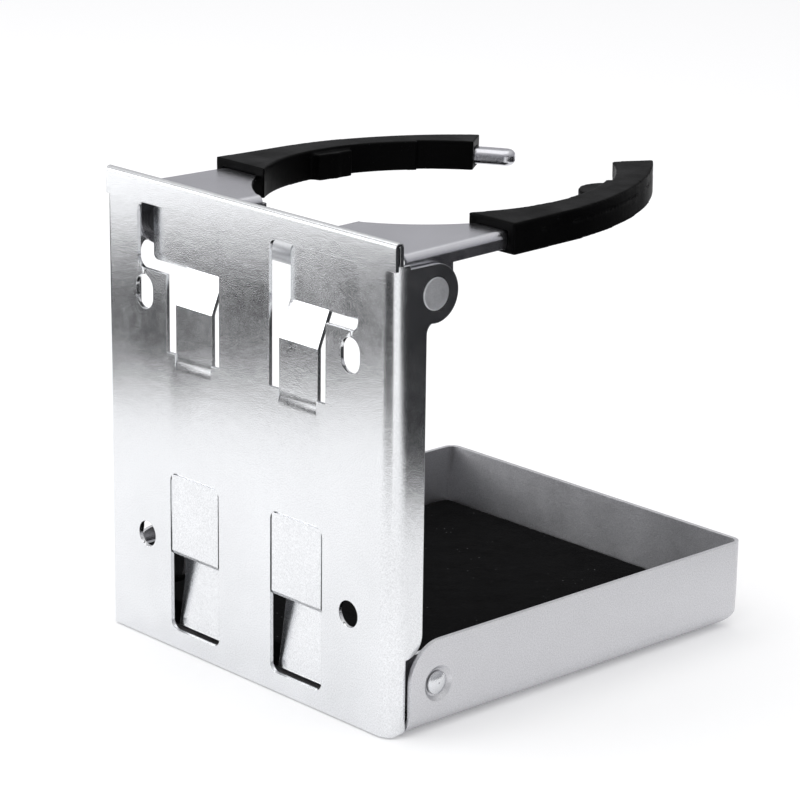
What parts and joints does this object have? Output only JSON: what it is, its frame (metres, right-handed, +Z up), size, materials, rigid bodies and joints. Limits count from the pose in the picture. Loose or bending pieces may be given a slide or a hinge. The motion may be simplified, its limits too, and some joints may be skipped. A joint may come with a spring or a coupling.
{
  "type": "wall cup holder",
  "caption": "Folding wall cup holder in pressed steel, with a fold-down ring of two sliding rubber-sleeved arms and a fold-up tray",
  "frame": {"origin": "middle of the screw pattern, on the wall face of the back plate", "axes": "+Z up, +Y into the wall, +X to the right of a user who faces the wall"},
  "size_m": [0.105, 0.1172, 0.1162],
  "materials": {
    "plate_steel": "satin stainless steel",
    "arm_steel": "fine bead-blasted stainless steel",
    "sleeve_rubber": "soft black rubber with a slight sheen",
    "pad_felt": "black foam with a felt face",
    "bush_plastic": "black acetal"
  },
  "bodies": {
    "plate": {"back_plate": "plate_steel", "arm_axle": "plate_steel", "right_tray_rivet": "plate_steel", "left_tray_rivet": "plate_steel"},
    "tray_pan": {"tray": "plate_steel", "tray_pad": "pad_felt"},
    "right_slider": {"right_arm_bush": "bush_plastic"},
    "left_slider": {"left_arm_bush": "bush_plastic"},
    "right_ring_arm": {"right_arm": "arm_steel", "right_sleeve": "sleeve_rubber"},
    "left_ring_arm": {"left_arm": "arm_steel", "left_sleeve": "sleeve_rubber"}
  },
  "joints": [
    {"name": "right_arm_slide", "type": "slide", "parent": "plate", "child": "right_slider", "axis": [-1, 0, 0], "range_m": [-0.004, 0.0075]},
    {"name": "left_arm_slide", "type": "slide", "parent": "plate", "child": "left_slider", "axis": [1, 0, 0], "range_m": [0, 0.0115]},
    {"name": "right_arm_fold", "type": "hinge", "parent": "right_slider", "child": "right_ring_arm", "pos_m": [0, -0.0121, 0.0452], "axis": [1, 0, 0], "range_deg": [0, 95]},
    {"name": "left_arm_fold", "type": "hinge", "parent": "left_slider", "child": "left_ring_arm", "pos_m": [0, -0.0121, 0.0452], "axis": [1, 0, 0], "range_deg": [0, 95]},
    {"name": "tray_fold", "type": "hinge", "parent": "plate", "child": "tray_pan", "pos_m": [0, -0.0136, -0.0458], "axis": [-1, 0, 0], "range_deg": [0, 55]}
  ]
}
